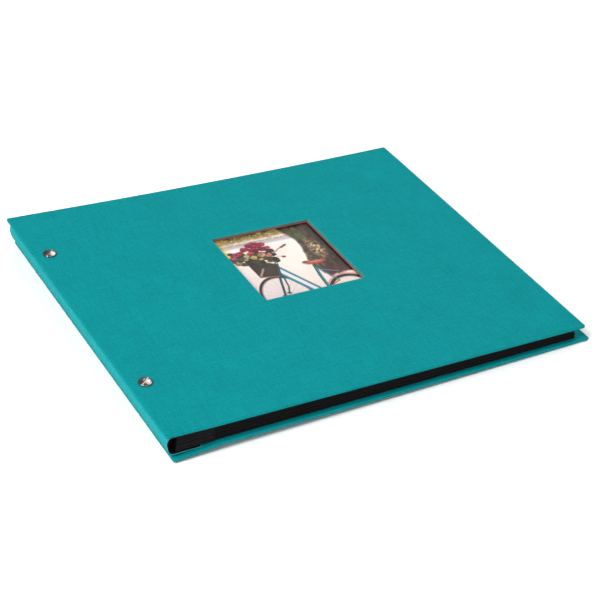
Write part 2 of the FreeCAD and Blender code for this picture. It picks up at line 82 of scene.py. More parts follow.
# ------------------------------------------------------------- mesh helpers
def new_object(name, verts, faces, uv=None, merge=0.0, smooth_angle=35):
    me = bpy.data.meshes.new(name)
    me.from_pydata([tuple(c * MM for c in v) for v in verts], [], faces)
    if uv is not None:
        a = me.attributes.new("cloth_uv", "FLOAT_VECTOR", "POINT")
        a.data.foreach_set("vector", np.array([(p[0], p[1], 0.0) for p in uv], np.float32).ravel())
    ob = bpy.data.objects.new(name, me)
    bpy.context.scene.collection.objects.link(ob)
    bm = bmesh.new()
    bm.from_mesh(me)
    if merge:
        bmesh.ops.remove_doubles(bm, verts=bm.verts, dist=merge * MM)
    bmesh.ops.dissolve_degenerate(bm, dist=1e-8, edges=bm.edges)
    bmesh.ops.recalc_face_normals(bm, faces=bm.faces)
    for f in bm.faces:
        f.smooth = True
    for e in bm.edges:
        if len(e.link_faces) == 2 and e.calc_face_angle(0) > math.radians(smooth_angle):
            e.smooth = False
    bm.to_mesh(me)
    bm.free()
    return ob


def lines(a, b, step, extra=()):
    n = max(1, int(round((b - a) / step)))
    keep = [e for e in extra if a < e < b]
    grid = [a + (b - a) * i / n for i in range(n + 1)]
    v = [q for i, q in enumerate(grid) if i in (0, n) or all(abs(q - e) > step * 0.3 for e in keep)]
    return sorted(set(round(q, 6) for q in v + keep))


def slab(name, place, xs, ys, d0, d1, window=None, edge=None, dip=None, uv=True):
    """A thin closed sheet between depths d0 and d1, with an optional window. edge(y) may move the far end."""
    verts, faces, uvs = [], [], []
    nx, ny = len(xs), len(ys)
    span = xs[-1] - xs[0]

    def px(i, j):
        if edge is None:
            return xs[i]
        return xs[0] + (xs[i] - xs[0]) / span * (edge(ys[j]) - xs[0])
    for d in (d0, d1):
        for i in range(nx):
            for j in range(ny):
                x = px(i, j)
                q = dip(x) if dip else 0.0
                verts.append(place(x, ys[j], d - q))
                uvs.append((x, ys[j]))

    def idx(i, j, s):
        return s * nx * ny + i * ny + j

    def hole(i, j):
        if not window or i < 0 or j < 0 or i >= nx - 1 or j >= ny - 1:
            return i < 0 or j < 0 or i >= nx - 1 or j >= ny - 1
        cx, cy = (xs[i] + xs[i + 1]) / 2, (ys[j] + ys[j + 1]) / 2
        return window[0] < cx < window[1] and window[2] < cy < window[3]
    for i in range(nx - 1):
        for j in range(ny - 1):
            if hole(i, j):
                continue
            faces.append((idx(i, j, 0), idx(i + 1, j, 0), idx(i + 1, j + 1, 0), idx(i, j + 1, 0)))
            faces.append((idx(i, j, 1), idx(i, j + 1, 1), idx(i + 1, j + 1, 1), idx(i + 1, j, 1)))
            for di, dj, a, b in ((-1, 0, (i, j), (i, j + 1)), (1, 0, (i + 1, j), (i + 1, j + 1)),
                                 (0, -1, (i, j), (i + 1, j)), (0, 1, (i, j + 1), (i + 1, j + 1))):
                if hole(i + di, j + dj):
                    faces.append((idx(a[0], a[1], 0), idx(b[0], b[1], 0), idx(b[0], b[1], 1), idx(a[0], a[1], 1)))
    used = sorted({k for f in faces for k in f})
    re = {k: n for n, k in enumerate(used)}
    return new_object(name, [verts[k] for k in used], [tuple(re[k] for k in f) for f in faces],
                      [uvs[k] for k in used] if uv else None)


def linen_skin(name, place, window=None, T=2.3, th=0.3, turn=12.0, r=0.5, rc=0.85):
    """One sheet of book linen wrapped round a board: face, rounded edges, turned-in margin."""
    x0, x1, y0, y1 = -STRIP, PANEL, -HALF, HALF
    g = 3.0
    extra = [-4.5, -3.1, -2.6, -2.1, -1.7, -1.3, -0.9, -0.5, 0, 0.5, 0.9, 1.3, 1.7, 2.1, 2.6, 3.1, 4.5]
    xs = lines(x0 + g, x1 - g, 3.0, extra + ([window[0], window[1]] if window else []))
    ys = lines(y0 + g, y1 - g, 3.0, [window[2], window[3]] if window else [])
    nx, ny = len(xs), len(ys)
    verts, uvs, faces = [], [], []

    def valley(x, d):
        return d + (0.16 * math.exp(-(x / 1.5) ** 2) if d < 0.5 else 0.0)

    def ripple(x, y):
        return 0.035 * math.sin(x * 0.09 + 1.3 * math.sin(y * 0.031)) * math.sin(y * 0.067 + 0.4)

    def put(x, y, d, u):
        k = valley(x, d)
        if d < 0.5:
            k += 0.035 + ripple(x, y) * min(1, (HALF - abs(y)) / 20)
        verts.append(place(x, y, k))
        uvs.append(u)
        return len(verts) - 1

    def in_window(i, j):
        if not window or not (0 <= i < nx - 1 and 0 <= j < ny - 1):
            return False
        cx, cy = (xs[i] + xs[i + 1]) / 2, (ys[j] + ys[j + 1]) / 2
        return window[0] < cx < window[1] and window[2] < cy < window[3]

    def grid(d):
        return [[put(x, y, d, (x, y)) for y in ys] for x in xs]
    top, low = grid(0.0), grid(th)
    for i in range(nx - 1):
        for j in range(ny - 1):
            if in_window(i, j):
                continue
            for G in (top, low):
                faces.append((G[i][j], G[i + 1][j], G[i + 1][j + 1], G[i][j + 1]))
            if window:
                for di, dj, a, b in ((-1, 0, (i, j), (i, j + 1)), (1, 0, (i + 1, j), (i + 1, j + 1)),
                                     (0, -1, (i, j), (i + 1, j)), (0, 1, (i, j + 1), (i + 1, j + 1))):
                    if in_window(i + di, j + dj):
                        faces.append((top[a[0]][a[1]], top[b[0]][b[1]], low[b[0]][b[1]], low[a[0]][a[1]]))
    # the border, as loops round the board; each point knows its side's outward direction
    K = 5
    bottom = [("s", xs[i], 0, -1) for i in range(1, nx - 1)]
    right = [("s", ys[j], 1, 0) for j in range(1, ny - 1)]
    topside = [("s", xs[i], 0, 1) for i in range(nx - 2, 0, -1)]
    left = [("s", ys[j], -1, 0) for j in range(ny - 2, 0, -1)]

    def corner(sx, sy, a0, a1):
        return [("c", math.radians(a0 + (a1 - a0) * k / (K - 1)), sx, sy) for k in range(K)]
    rim = bottom + corner(1, -1, -90, 0) + right + corner(1, 1, 0, 90) + topside + corner(-1, 1, 90, 180) + left + corner(-1, -1, 180, 270)

    def loop(inset, d, rho, run, corner_drop=0.0):
        out = []
        for kind, v, sx, sy in rim:
            if kind == "s":
                if sx == 0:
                    x, y = v, (y1 - inset if sy > 0 else y0 + inset)
                    lim0, lim1 = x0 + inset + rho, x1 - inset - rho
                    x = min(max(x, lim0), lim1)
                else:
                    x, y = (x1 - inset if sx > 0 else x0 + inset), v
                    y = min(max(y, y0 + inset + rho), y1 - inset - rho)
                bx = min(max(x, x0 + g), x1 - g)
                by = min(max(y, y0 + g), y1 - g)
                u = (bx + sx * run, by + sy * run)
                dd = d
            else:
                cx = x1 - inset - rho if sx > 0 else x0 + inset + rho
                cy = y1 - inset - rho if sy > 0 else y0 + inset + rho
                x, y = cx + rho * math.cos(v), cy + rho * math.sin(v)
                u = ((x1 - g if sx > 0 else x0 + g) + sx * run * 0.7, (y1 - g if sy > 0 else y0 + g) + sy * run * 0.7)
                dd = d - corner_drop
            out.append(put(x, y, dd, u))
        return out

    def bridge(a, b):
        n = len(a)
        for k in range(n):
            m = (k + 1) % n
            faces.append((a[k], a[m], b[m], b[k]))

    spec = [(g, 0.0, 0.0, 0.0), (1.7, 0.0, 0.25, 1.3)]
    run = 1.3
    for k in range(7):
        a = math.radians(90 * k / 6)
        spec.append((r * (1 - math.sin(a)), r * (1 - math.cos(a)), max(0.1, rc - r * (1 - math.sin(a))), 2.25 + r * a))
    run = 2.25 + r * math.pi / 2
    r2 = 0.6
    for k in range(6):
        a = math.radians(90 * k / 5)
        spec.append((r2 * (1 - math.cos(a)), T - r2 * (1 - math.sin(a)), max(0.1, rc - r2 * (1 - math.cos(a))), run + 0.95 + r2 * a))
    run += 0.95 + r2 * math.pi / 2
    for q in (2.0, 5.0, 8.5, turn - 0.15):
        spec.append((q, T, 0.05, run + q - r2, 0.12))
    spec.append((turn, T - 0.07, 0.05, run + turn, 0.12))
    outer = [loop(*s) for s in spec]
    inner_spec = [(turn, T - 0.19, 0.05, run + turn), (2.0, T - 0.19, 0.05, run + 2), (0.6, T - 0.25, 0.8, run),
                  (0.31, T - 0.7, 0.8, run), (0.31, 0.9, 0.8, 3.0), (0.6, th + 0.1, 0.8, 2.0), (1.7, th, 0.25, 1.3), (g, th, 0.0, 0.0)]
    inner = [loop(*s) for s in inner_spec]
    seq = outer + inner
    for a, b in zip(seq[:-1], seq[1:]):
        bridge(a, b)
    ob = new_object(name, verts, faces, uvs, merge=0.004, smooth_angle=50)
    return ob


# ------------------------------------------------------------- materials
def lin(c):
    return tuple(((v / 255.0) / 12.92 if v / 255.0 <= 0.04045 else ((v / 255.0 + 0.055) / 1.055) ** 2.4) for v in c) + (1.0,)


class Nodes:
    def __init__(self, name):
        self.m = bpy.data.materials.new(name)
        self.m.use_nodes = True
        self.t = self.m.node_tree
        self.b = self.t.nodes["Principled BSDF"]

    def new(self, kind, **kw):
        n = self.t.nodes.new(kind)
        for k, v in kw.items():
            if k.startswith("_"):
                n.inputs[k[1:]].default_value = v
            else:
                setattr(n, k, v)
        return n

    def link(self, a, b):
        self.t.links.new(a, b)

    def math(self, op, a, b=None):
        n = self.t.nodes.new("ShaderNodeMath")
        n.operation = op
        for k, v in enumerate((a, b)):
            if v is None:
                continue
            if isinstance(v, (int, float)):
                n.inputs[k].default_value = v
            else:
                self.link(v, n.inputs[k])
        return n.outputs[0]

    def noise(self, vector, scale, detail=3, rough=0.55, stretch=None):
        if stretch:
            mp = self.t.nodes.new("ShaderNodeMapping")
            self.link(vector, mp.inputs["Vector"])
            mp.inputs["Scale"].default_value = stretch
            vector = mp.outputs["Vector"]
        n = self.t.nodes.new("ShaderNodeTexNoise")
        n.inputs["Scale"].default_value = scale
        n.inputs["Detail"].default_value = detail
        n.inputs["Roughness"].default_value = rough
        self.link(vector, n.inputs["Vector"])
        return n.outputs["Fac"]

    def ramp(self, fac, stops):
        n = self.t.nodes.new("ShaderNodeValToRGB")
        e = n.color_ramp.elements
        while len(e) < len(stops):
            e.new(0.5)
        for k, (p, c) in enumerate(stops):
            e[k].position = p
            e[k].color = c
        self.link(fac, n.inputs["Fac"])
        return n.outputs["Color"]

    def mix(self, fac, a, b, blend="MIX"):
        n = self.t.nodes.new("ShaderNodeMix")
        n.data_type = "RGBA"
        n.blend_type = blend
        for s, v in ((n.inputs[0], fac), (n.inputs[6], a), (n.inputs[7], b)):
            if isinstance(v, (int, float, tuple)):
                s.default_value = v
            else:
                self.link(v, s)
        return n.outputs[2]

    def bump(self, height, strength, distance, normal=None):
        n = self.t.nodes.new("ShaderNodeBump")
        n.inputs["Strength"].default_value = strength
        n.inputs["Distance"].default_value = distance
        self.link(height, n.inputs["Height"])
        if normal is not None:
            self.link(normal, n.inputs["Normal"])
        return n.outputs["Normal"]


def scale_col(c, k):
    return (c[0] * k, c[1] * k, c[2] * k, 1.0)


def linen(name, base, light=1.36, dark=0.66):
    """Book linen: plain weave at 0.45 mm, slubs along both threads, soft mottling, and a painted edge highlight: a
    lighter line on sharp edges.
    """
    n = Nodes(name)
    at = n.new("ShaderNodeAttribute", attribute_name="cloth_uv")
    sep = n.new("ShaderNodeSeparateXYZ")
    wob = n.new("ShaderNodeTexNoise")
    wob.inputs["Scale"].default_value = 0.25
    n.link(at.outputs["Vector"], wob.inputs["Vector"])
    vm = n.new("ShaderNodeVectorMath", operation="MULTIPLY_ADD")
    n.link(wob.outputs["Color"], vm.inputs[0])
    vm.inputs[1].default_value = (0.35, 0.35, 0)
    n.link(at.outputs["Vector"], vm.inputs[2])
    n.link(vm.outputs[0], sep.inputs[0])
    p = 0.45
    su = n.math("SINE", n.math("MULTIPLY", sep.outputs["X"], math.pi / p))
    sv = n.math("SINE", n.math("MULTIPLY", sep.outputs["Y"], math.pi / p))
    cell = n.math("MULTIPLY", su, sv)
    over = n.math("GREATER_THAN", cell, 0.0)
    crown = n.math("POWER", n.math("ABSOLUTE", cell), 0.6)
    slub_u = n.noise(at.outputs["Vector"], 1.0, 3, 0.6, (0.07, 0.80, 1))
    slub_v = n.noise(at.outputs["Vector"], 1.0, 3, 0.6, (0.80, 0.07, 1))
    grit = n.noise(at.outputs["Vector"], 0.75, 4, 0.7)
    blot = n.noise(at.outputs["Vector"], 0.035, 3, 0.5)
    c0 = n.ramp(slub_u, [(0.32, scale_col(base, dark)), (0.5, base), (0.70, scale_col(base, light))])
    c1 = n.ramp(slub_v, [(0.32, scale_col(base, dark)), (0.5, base), (0.70, scale_col(base, light))])
    col = n.mix(over, c0, c1)
    col = n.mix(0.55, col, n.ramp(grit, [(0.30, scale_col(base, dark)), (0.5, base), (0.72, scale_col(base, light))]))
    col = n.mix(1.0, col, n.ramp(blot, [(0.3, (0.95, 0.96, 0.96, 1)), (0.7, (1.04, 1.03, 1.03, 1))]), "MULTIPLY")
    col = n.mix(1.0, col, n.ramp(crown, [(0.0, (0.78, 0.78, 0.78, 1)), (0.8, (1.05, 1.05, 1.05, 1))]), "MULTIPLY")
    geo = n.new("ShaderNodeNewGeometry")
    # painted edge highlight: the colour is lightened on sharp convex edges (Pointiness), broken up by the grit noise
    edge_highlight_mask = n.ramp(geo.outputs["Pointiness"], [(0.53, (0, 0, 0, 1)), (0.62, (1, 1, 1, 1))])
    edge_highlight_fac = n.math("MULTIPLY", n.math("MULTIPLY", edge_highlight_mask, grit), 0.35)
    col = n.mix(edge_highlight_fac, col, (min(1, base[0] * 2 + 0.12), min(1, base[1] * 1.25 + 0.1), min(1, base[2] * 1.25 + 0.1), 1))
    n.link(col, n.b.inputs["Base Color"])
    rough = n.ramp(grit, [(0.2, (0.74, 0.74, 0.74, 1)), (0.8, (0.92, 0.92, 0.92, 1))])
    n.link(rough, n.b.inputs["Roughness"])
    n.b.inputs["Specular IOR Level"].default_value = 0.06
    n.b.inputs["Sheen Weight"].default_value = 0.03
    n.b.inputs["Sheen Roughness"].default_value = 0.5
    n.b.inputs["Sheen Tint"].default_value = (0.1, 0.95, 1.0, 1)
    h = n.math("ADD", n.math("MULTIPLY", crown, 0.6), n.math("ADD", n.math("MULTIPLY", slub_u, 0.5), n.math("MULTIPLY", slub_v, 0.5)))
    n.link(n.bump(h, 0.55, 0.00009, n.bump(grit, 0.35, 0.00012)), n.b.inputs["Normal"])
    return n.m


def card(name, base, fibre=0.35, rough=(0.72, 0.9), bump=0.25, attr=False, spec=0.3):
    """Uncoated card or paper: fine fibres, soft cloudiness, a little roughness variation."""
    n = Nodes(name)
    tc = n.new("ShaderNodeTexCoord")
    v = tc.outputs["Object"]
    fib = n.noise(v, 900.0, 5, 0.7, (1, 0.35, 1))
    fib2 = n.noise(v, 2600.0, 3, 0.6)
    cloud = n.noise(v, 22.0, 3, 0.5)
    col = n.ramp(fib, [(0.3, scale_col(base, 1 - fibre)), (0.5, base), (0.75, scale_col(base, 1 + fibre * 1.4))])
    col = n.mix(1.0, col, n.ramp(cloud, [(0.3, (0.88, 0.88, 0.9, 1)), (0.7, (1.1, 1.08, 1.08, 1))]), "MULTIPLY")
    n.link(col, n.b.inputs["Base Color"])
    n.link(n.ramp(fib2, [(0.25, (rough[0],) * 3 + (1,)), (0.75, (rough[1],) * 3 + (1,))]), n.b.inputs["Roughness"])
    n.b.inputs["Specular IOR Level"].default_value = spec
    n.link(n.bump(fib, bump, 0.00006, n.bump(fib2, bump, 0.00003)), n.b.inputs["Normal"])
    return n.m


def metal(name, base, rough=(0.12, 0.28), line=0.5):
    """Nickel plate: fine turned lines, faint smudges, small scratches."""
    n = Nodes(name)
    tc = n.new("ShaderNodeTexCoord")
    v = tc.outputs["Object"]
    smudge = n.noise(v, 260.0, 4, 0.6)
    scratch = n.noise(v, 900.0, 4, 0.7, (1, 6, 1))
    n.link(n.ramp(smudge, [(0.3, scale_col(base, 0.82)), (0.7, scale_col(base, 1.08))]), n.b.inputs["Base Color"])
    n.link(n.ramp(smudge, [(0.3, (rough[0],) * 3 + (1,)), (0.75, (rough[1],) * 3 + (1,))]), n.b.inputs["Roughness"])
    n.b.inputs["Metallic"].default_value = 1.0
    n.link(n.bump(scratch, line * 0.2, 0.00004), n.b.inputs["Normal"])
    return n.m


def board_material(name, base):
    """Grey-brown binder's board: pressed layers seen on the cut edge, specks and fibres."""
    n = Nodes(name)
    tc = n.new("ShaderNodeTexCoord")
    v = tc.outputs["Object"]
    layer = n.noise(v, 1.0, 4, 0.6, (60, 60, 2600))
    speck = n.noise(v, 1500.0, 4, 0.7)
    col = n.ramp(layer, [(0.3, scale_col(base, 0.72)), (0.5, base), (0.7, scale_col(base, 1.25))])
    col = n.mix(0.4, col, n.ramp(speck, [(0.35, scale_col(base, 0.6)), (0.6, scale_col(base, 1.2))]))
    n.link(col, n.b.inputs["Base Color"])
    n.link(n.ramp(speck, [(0.2, (0.8, 0.8, 0.8, 1)), (0.8, (0.97, 0.97, 0.97, 1))]), n.b.inputs["Roughness"])
    n.b.inputs["Specular IOR Level"].default_value = 0.2
    n.link(n.bump(layer, 0.5, 0.0001, n.bump(speck, 0.4, 0.00008)), n.b.inputs["Normal"])
    return n.m


TEAL = (0.0005, 0.205, 0.220, 1.0)
# painted light: the spine cloth is the cover teal made lighter, a lit copy of the same linen standing in for the light
# from the left that falls on the spine
TEAL_SPINE_PAINTED_LIT = (0.0120, 0.275, 0.292, 1.0)
M_linen = linen("cover_linen", TEAL)
M_spine_painted_lit = linen("spine_linen", TEAL_SPINE_PAINTED_LIT)
M_lining = card("black_lining", (0.0035, 0.0032, 0.0040, 1), 0.4, (0.75, 0.9), 0.35, spec=0.2)
M_card = card("black_card", (0.0042, 0.0034, 0.0043, 1), 0.45, (0.66, 0.86), 0.35, spec=0.15)
M_end = card("black_endpaper", (0.0075, 0.0062, 0.0075, 1), 0.3, (0.62, 0.8), 0.2, spec=0.28)
M_board = board_material("greyboard", (0.215, 0.128, 0.104, 1))
M_nickel = metal("nickel_screw", (0.25, 0.222, 0.214, 1), (0.18, 0.34))
M_post = metal("steel_post", (0.66, 0.66, 0.67, 1), (0.2, 0.38))


def dress(ob, material):
    ob.data.materials.clear()
    ob.data.materials.append(material)
    return ob


def across(ob):
    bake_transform(ob)


skin_f = linen_skin("front_linen", front, (WX0, WX1, WY0, WY1))
dress(skin_f, M_linen)
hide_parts("front_cloth", "front_strip_cloth")
across(skin_f)

skin_b = linen_skin("rear_linen", back)
dress(skin_b, M_linen)
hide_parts("back_cloth", "back_strip_cloth")
across(skin_b)

win_lines_x, win_lines_y = [WX0, WX1], [WY0, WY1]
W = (WX0, WX1, WY0, WY1)
ob = slab("front_board_panel", front, lines(3.0, 266.6, 6.0, win_lines_x), lines(-124.6, 124.6, 8.0, win_lines_y), 0.42, 2.08, W, uv=False)
dress(ob, M_board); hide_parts("front_board"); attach(ob, "front_cover")
ob = slab("front_strip_core", front, lines(-32.6, -5.2, 3.0), lines(-124.6, 124.6, 8.0), 0.42, 2.08, uv=False)
dress(ob, M_board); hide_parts("front_strip_board"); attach(ob, "binding")
ob = slab("rear_board_panel", back, lines(3.0, 266.6, 6.0), lines(-124.6, 124.6, 8.0), 0.42, 2.08, uv=False)
dress(ob, M_board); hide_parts("back_board"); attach(ob, "back_cover")
ob = slab("rear_strip_core", back, lines(-32.6, -5.2, 3.0), lines(-124.6, 124.6, 8.0), 0.42, 2.08, uv=False)
dress(ob, M_board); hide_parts("back_strip_board"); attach(ob, "binding")

hinge_x = [-6, -4.5, -3.1, -2.6, -2.1, -1.6, -1.1, -0.5, 0, 0.5, 1.1, 1.6, 2.1, 2.6, 3.1, 4.5, 6]


def hinge_dip(x):
    return 0.55 * math.exp(-(x / 2.4) ** 2)


ob = slab("front_inner_sheet", front, lines(-19.4, 255.0, 5.0, hinge_x + win_lines_x), lines(-113.0, 113.0, 8.0, win_lines_y), 2.10, 2.30, W, dip=hinge_dip)
dress(ob, M_end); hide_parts("front_endpaper", "front_strip_endpaper"); across(ob)
ob = slab("rear_inner_sheet", back, lines(-19.4, 255.0, 5.0, hinge_x), lines(-113.0, 113.0, 8.0), 2.10, 2.30, dip=hinge_dip)
dress(ob, M_end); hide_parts("back_endpaper", "back_strip_endpaper"); across(ob)

# ------------------------------------------------------------- pocket behind the window, with a thumb notch
PX0, PX1, PY0, PY1 = 68.9, 169.9, 14.8 - 54, 14.8 + 54


def notch(y):
    q = 11.0 ** 2 - (y - 14.8) ** 2
    return PX1 - (math.sqrt(q) if q > 0 else 0.0)


parts = [slab("pk0", front, lines(PX0, PX1, 5.0), lines(PY0, PY1, 5.0, [14.8 + 11 * k for k in (-1, -0.97, -0.85, -0.6, -0.3, 0, 0.3, 0.6, 0.85, 0.97, 1)]), 2.61, 2.85, edge=notch),
         slab("pk1", front, lines(PX0, PX0 + 7, 3.5), lines(PY0, PY1, 6.0), 2.305, 2.607),
         slab("pk2", front, lines(PX0 + 7, PX1, 6.0), lines(PY0, PY0 + 7, 3.5), 2.305, 2.607),
         slab("pk3", front, lines(PX0 + 7, PX1, 6.0), lines(PY1 - 7, PY1, 3.5), 2.305, 2.607)]
bpy.ops.object.select_all(action="DESELECT")
for o in parts:
    o.select_set(True)
bpy.context.view_layer.objects.active = parts[0]
bpy.ops.object.join()
pocket = parts[0]
pocket.name = "pocket_sheet"
dress(pocket, M_card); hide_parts("picture_pocket"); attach(pocket, "front_cover")


# ------------------------------------------------------------- the picture card: a generic painted scene
def value_noise(x, y, seed, octaves=4):
    out = np.zeros_like(x); amp = 1.0; tot = 0.0
    r = np.random.RandomState(seed)
    for _ in range(octaves):
        t = r.rand(64, 64)
        xi, yi = np.floor(x).astype(int), np.floor(y).astype(int)
        fx, fy = x - xi, y - yi
        fx, fy = fx * fx * (3 - 2 * fx), fy * fy * (3 - 2 * fy)
        a, b = t[xi % 64, yi % 64], t[(xi + 1) % 64, yi % 64]
        c, d = t[xi % 64, (yi + 1) % 64], t[(xi + 1) % 64, (yi + 1) % 64]
        out += amp * ((a * (1 - fx) + b * fx) * (1 - fy) + (c * (1 - fx) + d * fx) * fy)
        tot += amp; amp *= 0.55; x, y = x * 2.03 + 7.1, y * 2.03 + 3.7
    return out / tot


def paint(U, V):
    img = np.zeros(U.shape + (3,))
    E = 0.006

    def put(mask, c):
        m = np.clip(mask, 0, 1)[..., None]
        img[:] = img * (1 - m) + np.array(c if np.ndim(c) > 1 else [v / 255.0 for v in c]) * m

    def soft(d, w=E):
        return np.clip(0.5 - d / w, 0, 1)

    def seg(x0, y0, x1, y1):
        dx, dy = x1 - x0, y1 - y0
        t = np.clip(((U - x0) * dx + (V - y0) * dy) / (dx * dx + dy * dy), 0, 1)
        return np.hypot(U - x0 - t * dx, V - y0 - t * dy)

    def tube(pts, w, c, hi=None):
        for a, b in zip(pts[:-1], pts[1:]):
            d = seg(a[0], a[1], b[0], b[1])
            put(soft(d - w), c)
            if hi is not None:
                put(soft(seg(a[0] + w * .3, a[1] + w * .35, b[0] + w * .3, b[1] + w * .35) - w * 0.28, 0.008) * 0.8, hi)

    def ring(cx, cy, rx, ry, w, c):
        q = np.hypot((U - cx) / rx, (V - cy) / ry)
        put(soft(np.abs(q - 1) * min(rx, ry) - w), c)

    def blob(cx, cy, rx, ry, c, rough=0.25, seed=0, w=0.02):
        ang = value_noise(U * 22 + seed, V * 22, seed + 40, 2) - 0.5
        q = np.hypot((U - cx) / rx, (V - cy) / ry) - 1 + ang * rough * 2
        put(soft(q * min(rx, ry), w), c)

    n1 = value_noise(U * 6, V * 6, 1); n2 = value_noise(U * 26, V * 26, 2); n3 = value_noise(U * 60, V * 60, 3, 2)
    # path: cream, whiter to the top-left, warmer at the foot
    base = np.array([252, 240, 231.]) / 255
    img[:] = base
    put(np.clip(1.1 - V * 2.2, 0, 1) * 0.6, (240, 222, 212))
    put(np.clip(1 - np.hypot((U - .12) / .5, (V - .18) / .5), 0, 1) * 0.8, (236, 224, 228))
    put(np.clip(1 - np.hypot((U - .72) / .35, (V - .6) / .5), 0, 1) * 0.7, (255, 251, 244))
    img *= (0.97 + 0.06 * n1)[..., None]
    # far kerb and lawn
    put(soft(np.abs(V - .865 + .03 * U) - .03, .03) * 0.75, (196, 186, 190))
    put(soft(np.abs(V - .80 + .02 * U - .01 * n1) - .022, .03) * 0.8, (250, 246, 250))
    put(np.clip((V - .895 + .02 * U + .05 * (n2 - .5)) * 22, 0, 1), (170, 148, 92))
    put(np.clip((V - .93 + .02 * U + .09 * (n3 - .5)) * 18, 0, 1) * np.clip(n2 * 2.2 - .5, 0, 1), (104, 84, 44))
    put(np.clip((V - .90 + .1 * (n3 - .5)) * 14, 0, 1) * np.clip(n3 * 3 - 1.6, 0, 1), (240, 230, 196))
    put(soft(np.abs(V - .875) - .006, .02) * np.clip(n3 * 2 - .6, 0, 1), (120, 96, 70))
    # low sun on the left border
    put(np.clip(1 - U / .10, 0, 1) * np.clip(1 - np.abs(V - .76) / .14, 0, 1) * 1.5, (250, 222, 96))
    put(np.clip(1 - np.abs(V - .70 - .06 * U) / .035, 0, 1) * np.clip(1 - U / .34, 0, 1) * .8, (244, 206, 110))
    put(np.clip(1 - U / .16, 0, 1) * np.clip((V - .86) * 12, 0, 1) * 0.9, (198, 164, 92))
    # tree trunk and shrub at the right
    tb = .72 + .035 * np.sin(V * 9 + 1) + .03 * (n2 - .5) - .10 * np.clip(V - .55, 0, 1)
    trunk = np.clip((U - tb) * 40, 0, 1) * np.clip((V - .17 + .5 * np.clip(.80 - U, 0, 1) + .06 * (n2 - .5)) * 26, 0, 1)
    put(trunk, (78, 58, 46))
    grain = value_noise(U * 46, V * 9, 9, 3)
    put(trunk * np.clip(grain * 3 - 1.4, 0, 1) * .8, (150, 118, 88))
    put(trunk * np.clip(1.1 - grain * 3, 0, 1) * .95, (34, 24, 22))
    put(trunk * np.clip(value_noise(U * 30, V * 30, 12, 3) * 4 - 2.5, 0, 1), (120, 128, 62))
    put(trunk * np.clip((U - .90) * 9, 0, 1) * .8, (52, 28, 28))
    put(trunk * np.clip((.36 - V) * 6, 0, 1) * np.clip(n3 * 2.2 - .6, 0, 1), (110, 34, 44))
    put(np.clip(1 - np.hypot((U - .86) / .10, (V - .60) / .20), 0, 1) * 1.6 * np.clip(n3 * 2.4 - .7, 0, 1), (226, 204, 160))
    put(np.clip(1 - np.hypot((U - .80) / .09, (V - .86) / .12), 0, 1) * 1.5 * np.clip(n2 * 2 - .4, 0, 1), (96, 116, 58))
    # rear wheel
    ring(.86, -.13, .222, .262, .016, (52, 46, 48)); ring(.86, -.13, .198, .236, .006, (214, 206, 200))
    ring(.86, -.13, .250, .292, .005, (224, 150, 140))
    # front wheel: tyre, rim, thin spokes
    for k in range(11):
        a = math.radians(18 + k * 16)
        tube([(.25, .02), (.25 + .21 * math.cos(a), .02 + .27 * math.sin(a))], .0012, (206, 192, 186))
    ring(.250, .020, .232, .300, .0115, (58, 46, 44)); ring(.250, .020, .214, .280, .0030, (176, 160, 152))
    # frame tubes
    teal, tl, dk = (20, 128, 152), (120, 202, 216), (20, 66, 74)
    tube([(.375, .455), (.590, .005)], .0125, teal, tl)
    tube([(.352, .385), (.545, .000)], .0095, (238, 240, 242))
    tube([(.345, .350), (.520, -.01)], .0160, teal, tl)
    tube([(.390, .500), (.322, .300)], .0165, (34, 60, 66), teal)
    tube([(.318, .315), (.262, .150), (.222, .035)], .0105, dk, (70, 140, 150))
    tube([(.350, .300), (.318, .150), (.272, .055)], .0070, (40, 84, 90))
    tube([(.205, .040), (.245, .030)], .0090, (40, 44, 48)); tube([(.262, .068), (.292, .058)], .0080, (40, 44, 48))
    tube([(.700, .360), (.672, .200), (.652, -.005)], .0150, (28, 98, 112), tl)
    tube([(.712, .300), (.800, .080)], .0060, teal, tl)
    tube([(.655, .020), (.800, .080)], .0055, (214, 96, 70))
    tube([(.715, .290), (.860, .210)], .0045, (96, 170, 182))
    # handlebar, stem and grip
    tube([(.392, .500), (.430, .640)], .0085, (196, 196, 200), (250, 250, 250))
    tube([(.430, .640), (.520, .700), (.600, .735)], .0065, (150, 132, 128), (240, 236, 232))
    tube([(.560, .716), (.618, .742)], .0115, (142, 76, 52), (206, 134, 98))
    # saddle, tan leather
    blob(.738, .402, .098, .026, (196, 92, 70), .12, 3, .012)
    blob(.655, .428, .038, .020, (138, 96, 66), .10, 4, .012)
    blob(.748, .416, .070, .010, (232, 146, 112), .10, 5, .012)
    tube([(.715, .385), (.700, .340)], .006, (70, 74, 78))
    # wicker basket
    P = [(.135, .655), (.385, .490), (.318, .318), (.148, .352)]
    inside = np.full(U.shape, -1e9)
    for (ax, ay), (bx, by) in zip(P, P[1:] + P[:1]):
        nx_, ny_ = (by - ay), -(bx - ax)
        l = math.hypot(nx_, ny_)
        inside = np.maximum(inside, -((U - ax) * nx_ + (V - ay) * ny_) / l)
    m = soft(inside, .010)
    put(m, (54, 34, 24))
    wu, wv = (U + V * .25) * 260, (V + U * .75) * 230
    wk = np.sin(wu) * np.sign(np.sin(wv))
    put(m * np.clip(wk, 0, 1) * .5, (110, 76, 50)); put(m * np.clip(-wk, 0, 1) * .5, (40, 26, 20))
    put(m * np.clip(1 - inside / -.02, 0, 1) * .4, (60, 40, 30))
    put(m * soft(seg(.165, .37, .235, .46) - .011, .012) * .8, (214, 196, 172))
    tube([(.148, .352), (.318, .318)], .006, (176, 132, 92)); tube([(.135, .655), (.385, .490)], .007, (120, 84, 56))
